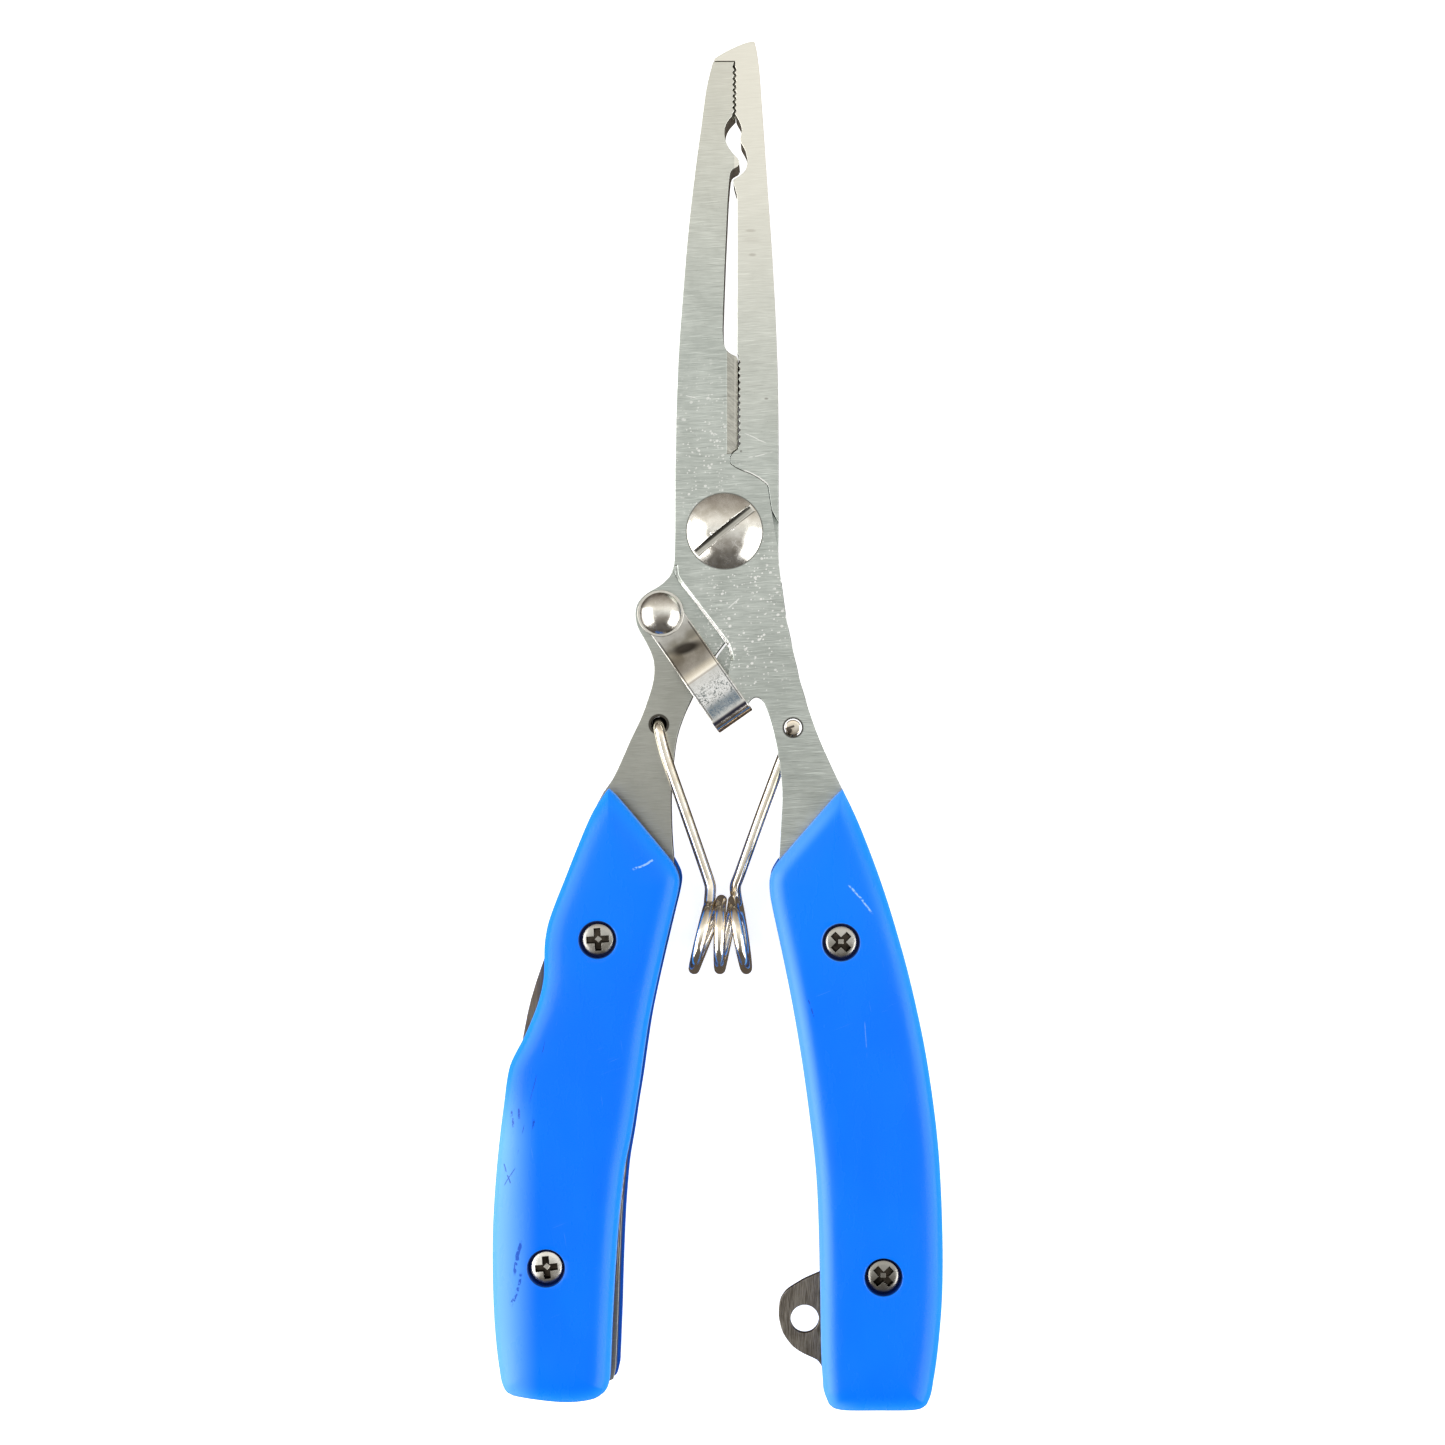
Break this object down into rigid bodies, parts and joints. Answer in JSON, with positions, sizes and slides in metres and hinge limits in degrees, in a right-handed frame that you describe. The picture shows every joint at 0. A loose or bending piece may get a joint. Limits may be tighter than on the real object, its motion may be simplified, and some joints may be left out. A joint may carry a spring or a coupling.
{
  "type": "fishing pliers",
  "caption": "Needle-nose fishing pliers with a line cutter, swing latch, wire return spring, lanyard ear and a folding knife in one grip.",
  "frame": {"origin": "bottom centre of the whole tool lying on the backs of its grips", "axes": "+Y towards the jaw tips, +Z out of the front face with the latch and the pivot screw, +X towards the grip with the lanyard ear"},
  "size_m": [0.0706, 0.2154, 0.014],
  "materials": {
    "lever_steel": "brushed across the levers",
    "plate_steel": "brushed, slightly brown",
    "blade_steel": "dark satin",
    "polished_steel": "polished",
    "nickel_plate": "nickel plated",
    "spring_wire": "drawn wire, nickel plated",
    "bronze": "plain",
    "blue_grip": "glossy moulded blue"
  },
  "bodies": {
    "front_lever": {"jaw_lever_front": "lever_steel", "pivot_screw": "nickel_plate", "pivot_washer": "nickel_plate", "pivot_nut": "nickel_plate", "right_front_scale": "blue_grip", "right_rear_scale": "blue_grip", "lanyard_plate": "plate_steel", "right_upper_screw": "nickel_plate", "right_lower_screw": "nickel_plate", "right_upper_nut": "nickel_plate", "right_lower_nut": "nickel_plate"},
    "rear_lever": {"jaw_lever_rear": "lever_steel", "left_front_scale": "blue_grip", "left_rear_scale": "blue_grip", "knife_liner": "plate_steel", "knife_spacer": "plate_steel", "knife_stop_pin": "nickel_plate", "knife_washers": "bronze", "latch_rivet": "nickel_plate", "latch_washer": "nickel_plate", "left_upper_screw": "nickel_plate", "left_lower_screw": "nickel_plate", "left_upper_nut": "nickel_plate", "left_lower_nut": "nickel_plate"},
    "latch_strip": {"latch": "polished_steel"},
    "knife": {"knife_blade": "blade_steel"},
    "spring_left": {"spring_left_half": "spring_wire"},
    "spring_right": {"spring_right_half": "spring_wire"}
  },
  "joints": [
    {"name": "jaw_pivot", "type": "hinge", "parent": "front_lever", "child": "rear_lever", "pos_m": [0.0011, 0.0305, 0.007], "axis": [0, 0, -1], "range_deg": [0, 20], "stiffness_Nm_per_rad": 1, "springref_deg": 34.38},
    {"name": "latch_swing", "type": "hinge", "parent": "rear_lever", "child": "latch_strip", "pos_m": [-0.0091, 0.0176, 0.0085], "axis": [0, 0, -1], "range_deg": [0, 15]},
    {"name": "knife_fold", "type": "hinge", "parent": "rear_lever", "child": "knife", "pos_m": [-0.0265, -0.0846, 0.0081], "axis": [0, 0, 1], "range_deg": [0, 180]},
    {"name": "spring_hook", "type": "hinge", "parent": "rear_lever", "child": "spring_left", "pos_m": [-0.00945, 0, 0.007], "axis": [0, 0, 1], "range_deg": [0, 20.5], "deforming": ["spring_left_half"]},
    {"name": "spring_coil", "type": "hinge", "parent": "spring_left", "child": "spring_right", "pos_m": [0.0007, -0.0334, 0.007], "axis": [0, 0, -1], "range_deg": [0, 19], "deforming": ["spring_right_half"]}
  ],
  "couplings": [
    {"joint": "spring_hook", "follows": "jaw_pivot", "ratio": 0.9825},
    {"joint": "spring_coil", "follows": "jaw_pivot", "ratio": 0.9225}
  ]
}
